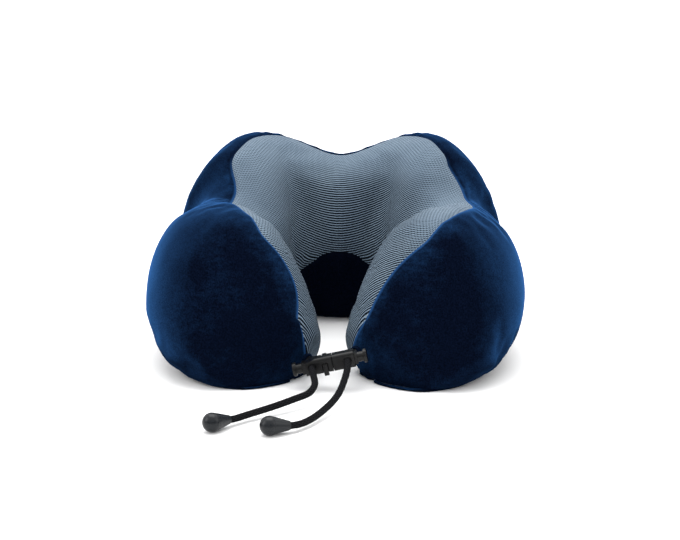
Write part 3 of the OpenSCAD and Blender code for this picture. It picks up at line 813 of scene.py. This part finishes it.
for word, side in SIDES:
    top = lambda a, side=side: ridge(a, side)
    low = lambda a, side=side: mesh_low(a, side)
    velour = panel(f"velour_{word}_side", side, 180, 64, lambda a: zip_edge(a, 1), top, BASE_SEAM, SEAM)
    dress(velour, VELOUR)
    bend_with_arm(velour)
    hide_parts(f"velour_{word}", "velour_back")
    skirt = panel(f"velour_skirt_{word}_side", side, 70, 16, edge_outer, lambda a: zip_edge(a, -1),
                  BASE_SEAM, BASE_SEAM, a_end=SKIRT_END)
    dress(skirt, VELOUR)
    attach(skirt, "back")
    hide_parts("velour_skirt")
    mesh = panel(f"mesh_{word}_side", side, 150, 48, top, low, SEAM, LOWER_SEAM, knit=True)
    dress(mesh, MESH)
    bend_with_arm(mesh)
    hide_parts(f"mesh_{word}", "mesh_back")
    inner = panel(f"inner_velour_{word}_side", side, 120, 26, low, edge_inner, LOWER_SEAM, BASE_SEAM,
                  painted_sheen_at_low_seam=True)
    dress(inner, INNER_VELOUR_PAINTED_SHADE)
    bend_with_arm(inner)
    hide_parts(f"inner_velour_{word}", "inner_velour_back")


def foam_core(word, side):
    """Half of the moulded foam, closed by a flat face at the middle of the back."""
    a = stations(60)
    v = np.arange(0, 360, 9.0)
    rings = skin(a[:, None], v[None, :], FOAM_DEPTH)
    rings[..., 0] *= side
    rows, cols = rings.shape[:2]
    faces = []
    for i in range(rows - 1):
        for j in range(cols):
            k = (j + 1) % cols
            faces.append((i * cols + j, i * cols + k, (i + 1) * cols + k, (i + 1) * cols + j))
    faces.append(tuple(range(cols)))
    core = build(f"foam_core_{word}", rings.reshape(-1, 3), faces)
    dress(core, FOAM)
    bend_with_arm(core)
    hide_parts(f"foam_{word}", "foam_back")


def base_sheet(word, side):
    """Grip fabric under one half, flat on the floor between the two lower seams."""
    a = stations(70, .908)
    across = np.linspace(0, 1, 14)
    v = np.stack([edge_outer(a), edge_inner(a)], -1)
    edges = skin(a[:, None], v)
    edges = edges - tucked_in(edges, skin_normals(a[:, None], v), a, side)
    p, q = edges[:, 0], edges[:, 1]
    top = p[:, None] + (q - p)[:, None] * across[None, :, None]
    top[..., 0] *= side
    top[..., 2] = CLOTH
    bottom = top.copy()
    bottom[..., 2] = 0
    sheet = build(f"base_{word}_side", np.concatenate([top.reshape(-1, 3), bottom.reshape(-1, 3)]),
                  sheet_faces(len(a), len(across)))
    dress(sheet, GRIP)
    bend_with_arm(sheet)
    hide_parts(f"base_{word}", "base_back")


for word, side in SIDES:
    foam_core(word, side)
    base_sheet(word, side)

# ---------------------------------------------------------------- zip
def zip_frames(count, end=.185):
    """Places along the zip at even steps: centre, along, outwards."""
    a = np.linspace(0, end, 200)
    line = skin(a, outer_v(a, ZIP_HEIGHT))
    line = np.concatenate([line[:0:-1] * (-1, 1, 1), line])
    way = np.concatenate([[0], np.cumsum(np.linalg.norm(np.diff(line, axis=0), axis=1))])
    at = np.linspace(0, way[-1], count)
    p = np.stack([np.interp(at, way, line[:, k]) for k in range(3)], -1)
    along = np.gradient(p, axis=0)
    along[:, 2] = 0
    along /= np.linalg.norm(along, axis=1, keepdims=True)
    return p, along, np.cross(along, (0, 0, 1.0)) * -1


def small_blocks(name, places, size, top_scale=.6):
    """A row of small moulded blocks, each narrower at its outer face."""
    points, faces = [], []
    for centre, x, y, z in places:
        start = len(points)
        for out, scale in ((-.5, 1), (.2, 1), (.5, top_scale)):
            for i, k in ((-.5, -.5), (.5, -.5), (.5, .5), (-.5, .5)):
                points.append(centre + x * (i * size[0] * scale) + y * (out * size[1])
                              + z * (k * size[2] * scale))
        for ring in (0, 4):
            for i in range(4):
                j = (i + 1) % 4
                faces.append((start + ring + i, start + ring + j, start + ring + 4 + j, start + ring + 4 + i))
        faces += [(start, start + 3, start + 2, start + 1), tuple(range(start + 8, start + 12))]
    return build(name, points, faces)


UP = np.array((0, 0, 1.0))
TOOTH_PITCH = .002
TEETH_PER_ROW = 64
centres, along, outwards = zip_frames(TEETH_PER_ROW + 1)
for word, way, shift in (("upper", 1, 0), ("lower", -1, TOOTH_PITCH / 2)):
    places = [(centres[i] + along[i] * shift + UP * way * .00042 - outwards[i] * .0002,
               along[i], outwards[i], UP) for i in range(TEETH_PER_ROW)]
    teeth = small_blocks(f"zip_chain_{word}", places, (.00088, .0014, .0015))
    dress(teeth, TEETH)
    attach(teeth, "back")
    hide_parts(f"zip_teeth_{word}")
a = np.linspace(0, ZIP_END + .016, 60)
a = np.concatenate([-a[:0:-1], a])
rows = np.linspace(-.0046, .0046, 5)
strip = [skin(a[:, None], outer_v(np.abs(a)[:, None], ZIP_HEIGHT + rows), depth).reshape(-1, 3)
         for depth in (.0012, .0016)]
backing = build("zip_backing", np.concatenate(strip), sheet_faces(len(a), len(rows)))
dress(backing, TAPE)
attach(backing, "back")
stitches = []
for way in (1, -1):
    a = np.linspace(0, .19, 24)
    for s in (-1, 1):
        line = skin(a, outer_v(a, ZIP_HEIGHT + way * .0052)) * (s, 1, 1)
        step = np.gradient(line, axis=0)
        step /= np.linalg.norm(step, axis=1, keepdims=True)
        n = np.cross(step, UP)
        n *= np.sign(n[:, 1:2])
        stitches += [(line[i] + n[i] * .00015, step[i], n[i], UP) for i in range(1 if s > 0 else 0, 24)]
thread = small_blocks("zip_stitching", stitches, (.0021, .0006, .0005))
dress(thread, CORD)
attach(thread, "back")

# ---------------------------------------------------------------- cords
CORD_D = .005
LEFT_ROUTE = [(-.0182, -.1052, .017), (-.0166, -.1082, .017), (-.0149, -.112, .0171),
              (-.0137, -.1164, .0171), (-.0136, -.1215, .0171), (-.0136, -.1275, .0171),
              (-.012, -.137, .015), (-.0105, -.148, .012), (-.014, -.159, .0095),
              (-.024, -.168, .008), (-.038, -.179, .0062), (-.053, -.190, .0048),
              (-.062, -.1983, .0045), (-.066, -.202, .005), (-.072, -.2077, .006)]
RIGHT_ROUTE = [(.0182, -.1052, .0234), (.0164, -.1082, .0233), (.0141, -.112, .023),
               (.0124, -.1164, .0229), (.0122, -.1215, .0229), (.0122, -.1275, .0229),
               (.0125, -.137, .0205), (.0105, -.149, .0155), (.007, -.162, .0103),
               (.0015, -.175, .007), (-.006, -.190, .005), (-.0125, -.201, .0044),
               (-.018, -.2078, .0045), (-.024, -.212, .005), (-.0312, -.2148, .006)]


def smooth_route(points, steps):
    """Points on the smooth curve through the route, as part.scad draws it."""
    p = np.array(points)
    out = []
    for i in range(len(p) - 1):
        a, b, c, d = p[max(0, i - 1)], p[i], p[i + 1], p[min(len(p) - 1, i + 2)]
        for k in range(steps):
            s = k / steps
            out.append(.5 * (2 * b + (c - a) * s + (2 * a - 5 * b + 4 * c - d) * s**2
                             + (3 * b - a - 3 * c + d) * s**3))
    out.append(p[-1])
    return np.array(out)


def tube_frames(route):
    """Two directions across the route at each of its points, without twist."""
    t = np.gradient(route, axis=0)
    t /= np.linalg.norm(t, axis=1, keepdims=True)
    side = np.cross(t[0], (0, 0, 1.0))
    side /= np.linalg.norm(side)
    sides = []
    for k in range(len(route)):
        side = side - (side @ t[k]) * t[k]
        side /= np.linalg.norm(side)
        sides.append(side)
    sides = np.array(sides)
    return sides, np.cross(t, sides)


def braided_tube(name, route, diameter, around=32, strands=8, lay=.0064, relief=.00016):
    """A mesh tube along the route whose surface has the crossing strands of a braid."""
    along = np.concatenate([[0], np.cumsum(np.linalg.norm(np.diff(route, axis=0), axis=1))])
    one, two = tube_frames(route)
    w = np.linspace(0, 2 * math.pi, around, endpoint=False)
    phase = along[:, None] * (2 * math.pi / lay)
    bumps = np.maximum(np.sin(strands / 2 * w + phase), np.sin(strands / 2 * w - phase))
    r = diameter / 2 - relief * (.5 - .5 * bumps)
    points = (route[:, None] + r[..., None] * (np.cos(w)[None, :, None] * one[:, None]
                                               + np.sin(w)[None, :, None] * two[:, None]))
    n = len(route)
    faces = []
    for i in range(n - 1):
        for j in range(around):
            k = (j + 1) % around
            faces.append((i * around + j, i * around + k, (i + 1) * around + k, (i + 1) * around + j))
    faces.append(tuple(range(around))[::-1])
    faces.append(tuple((n - 1) * around + j for j in range(around)))
    uvs = [(along[i], j / around) for i in range(n) for j in range(around)]
    return build(name, points.reshape(-1, 3), faces, uvs)


for word, route in (("left", LEFT_ROUTE), ("right", RIGHT_ROUTE)):
    line = smooth_route(route, 22)
    cord = braided_tube(f"braided_cord_{word}", line, CORD_D)
    dress(cord, CORD)
    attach(cord, f"{word}_arm")
    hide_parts(f"cord_{word}")
    dress(NODES[f"cord_knot_{word}"], CORD)
    for part in ("bell_cone", "bell_cap"):
        dress(NODES[f"{part}_{word}"], BELL)

for name in ("clasp_socket", "clasp_plug", "release_prong_front", "release_prong_back",
             "lock_button_left", "lock_button_right"):
    dress(NODES[name], CLASP)
for name in ("lock_spring_left", "lock_spring_right"):
    dress(NODES[name], STEEL)
for name in ("zip_tape_upper", "zip_tape_lower", "cord_sleeve_left", "cord_sleeve_right"):
    dress(NODES[name], TAPE)
for name in ("zip_teeth_upper", "zip_teeth_lower", "zip_stop_left", "zip_stop_right"):
    dress(NODES[name], TEETH)
for name in ("zip_slider", "zip_pull"):
    dress(NODES[name], ZIP_METAL)

# ---------------------------------------------------------------- stage, lights and camera
floor_bm = bmesh.new()
bmesh.ops.create_circle(floor_bm, cap_ends=True, radius=7, segments=96)
floor_mesh = bpy.data.meshes.new("floor")
floor_bm.to_mesh(floor_mesh)
floor_bm.free()
floor = bpy.data.objects.new("floor", floor_mesh)
floor.location.z = -.0002
bpy.context.scene.collection.objects.link(floor)
paper, paper_tree, paper_shader = material("studio_floor")
put(paper_tree, paper_shader.inputs["Base Color"], colour(.97, .97, .97))
put(paper_tree, paper_shader.inputs["Roughness"], .8)
put(paper_tree, paper_shader.inputs["Specular IOR Level"], .15)
dress(floor, paper)

world = bpy.data.worlds.new("studio")
bpy.context.scene.world = world
world.use_nodes = True
sky = world.node_tree
toward = sky.nodes.new("ShaderNodeSeparateXYZ")
put(sky, toward.inputs[0], node(sky, "TexCoord"))
horizon = ramp(sky, toward.outputs[2], .02, .14, 1.04, 0)
behind = maths(sky, "MAXIMUM", horizon, ramp(sky, toward.outputs[1], -.3, .9, .42, 1.04))
above = ramp(sky, toward.outputs[2], .05, .8, 0, .95)
put(sky, sky.nodes["Background"].inputs[0], (1, 1, 1, 1))
put(sky, sky.nodes["Background"].inputs[1], maths(sky, "ADD", behind, above))


def softbox(name, place, aim, size, power):
    """A rectangular studio light at one place, turned towards another."""
    light = bpy.data.lights.new(name, "AREA")
    light.shape = "RECTANGLE"
    light.size, light.size_y = size
    light.energy = power
    obj = bpy.data.objects.new(name, light)
    obj.location = place
    obj.rotation_euler = (Vector(aim) - Vector(place)).to_track_quat("-Z", "Y").to_euler()
    bpy.context.scene.collection.objects.link(obj)


softbox("overhead", (0, .25, 1.7), (0, .02, .05), (1.6, 1.2), 21)
softbox("left_side", (-1.5, -.5, .9), (0, 0, .06), (.9, 1.2), 10)
softbox("right_side", (1.5, -.4, .8), (0, 0, .06), (.9, 1.2), 4.5)

AZIMUTH, ELEVATION, DISTANCE = math.radians(2.1), math.radians(15.3), 1.273
TARGET = Vector((.0021, .00045, .0561))
camera = bpy.data.objects.new("camera", bpy.data.cameras.new("camera"))
camera.data.lens = 84.9
camera.data.sensor_width = 36
camera.location = TARGET + DISTANCE * Vector((math.sin(AZIMUTH) * math.cos(ELEVATION),
                                              -math.cos(AZIMUTH) * math.cos(ELEVATION),
                                              math.sin(ELEVATION)))
camera.rotation_euler = (TARGET - camera.location).to_track_quat("-Z", "Y").to_euler()
bpy.context.scene.collection.objects.link(camera)
bpy.context.scene.camera = camera
bpy.context.scene.view_settings.view_transform = "Standard"
